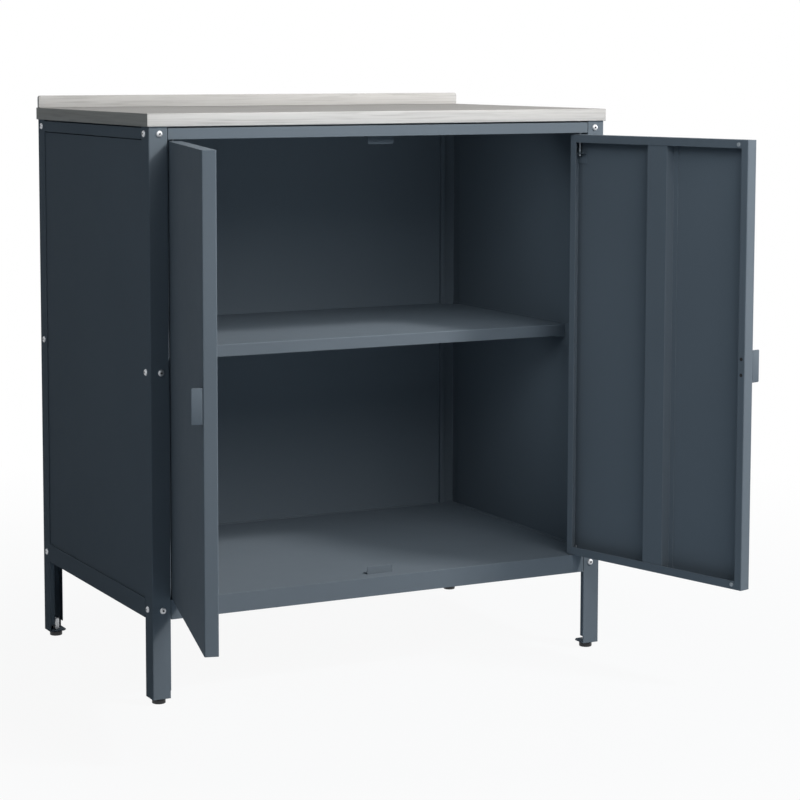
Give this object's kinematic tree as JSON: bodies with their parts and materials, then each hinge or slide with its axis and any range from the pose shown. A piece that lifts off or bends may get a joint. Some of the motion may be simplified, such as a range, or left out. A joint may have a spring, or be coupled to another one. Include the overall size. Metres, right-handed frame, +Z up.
{
  "type": "steel storage cabinet",
  "caption": "Free-standing steel storage cabinet with hinged doors shown open, an inner shelf over a base tray, levelling feet, and a wood-grain laminate worktop with a rear upstand.",
  "frame": {"origin": "middle of the plan outline with both doors open, at floor level under the feet", "axes": "+X to the viewer's right along the worktop, +Y from the doors to the back, +Z up"},
  "size_m": [0.9402, 0.8386, 0.914],
  "materials": {
    "steel": "slate grey powder coat, satin",
    "laminate": "light grey wood-grain laminate, matt",
    "zinc": "zinc plated, semi-bright",
    "plastic": "black, matt",
    "buffer": "grey, matt"
  },
  "bodies": {
    "frame": {"worktop": "laminate", "upstand": "laminate", "post_front_left": "steel", "post_front_right": "steel", "post_rear_left": "steel", "post_rear_right": "steel", "foot_plate_front_left": "steel", "foot_plate_front_right": "steel", "foot_plate_rear_left": "steel", "foot_plate_rear_right": "steel", "top_plate_front_left": "steel", "top_plate_front_right": "steel", "top_plate_rear_left": "steel", "top_plate_rear_right": "steel", "foot_sleeves": "zinc", "top_rail_front": "steel", "top_rail_rear": "steel", "top_rail_left": "steel", "top_rail_right": "steel", "side_panel_left": "steel", "side_panel_right": "steel", "back_panel": "steel", "bottom_tray": "steel", "shelf": "steel", "shelf_support_left": "steel", "shelf_support_right": "steel", "door_stop_top": "steel", "door_stop_bottom": "steel", "frame_screws": "zinc", "frame_nuts": "zinc", "worktop_screws": "zinc", "upstand_screws": "zinc"},
    "left_door": {"door_left": "steel", "door_stiffener_left": "steel", "handle_left": "steel", "handle_screws_left": "zinc", "door_buffers_left": "buffer", "hinge_pin_top_left": "zinc", "hinge_pin_bottom_left": "zinc", "hinge_bracket_left": "steel", "hinge_washer_left": "plastic"},
    "right_door": {"door_right": "steel", "door_stiffener_right": "steel", "handle_right": "steel", "handle_screws_right": "zinc", "door_buffers_right": "buffer", "hinge_pin_top_right": "zinc", "hinge_pin_bottom_right": "zinc", "hinge_bracket_right": "steel", "hinge_washer_right": "plastic"},
    "foot_front_left": {"foot_pad_front_left": "plastic", "foot_stud_front_left": "zinc"},
    "foot_front_right": {"foot_pad_front_right": "plastic", "foot_stud_front_right": "zinc"},
    "foot_rear_left": {"foot_pad_rear_left": "plastic", "foot_stud_rear_left": "zinc"},
    "foot_rear_right": {"foot_pad_rear_right": "plastic", "foot_stud_rear_right": "zinc"}
  },
  "joints": [
    {"name": "left_door_hinge", "type": "hinge", "parent": "frame", "child": "left_door", "pos_m": [-0.357, -0.07276, 0.50705], "axis": [0, 0, 1], "range_deg": [-7, 105]},
    {"name": "right_door_hinge", "type": "hinge", "parent": "frame", "child": "right_door", "pos_m": [0.357, -0.07276, 0.50705], "axis": [0, 0, 1], "range_deg": [-105, 7]},
    {"name": "foot_front_left_height", "type": "slide", "parent": "frame", "child": "foot_front_left", "axis": [0, 0, -1], "range_m": [0, 0.012]},
    {"name": "foot_front_right_height", "type": "slide", "parent": "frame", "child": "foot_front_right", "axis": [0, 0, -1], "range_m": [0, 0.012]},
    {"name": "foot_rear_left_height", "type": "slide", "parent": "frame", "child": "foot_rear_left", "axis": [0, 0, -1], "range_m": [0, 0.012]},
    {"name": "foot_rear_right_height", "type": "slide", "parent": "frame", "child": "foot_rear_right", "axis": [0, 0, -1], "range_m": [0, 0.012]}
  ]
}
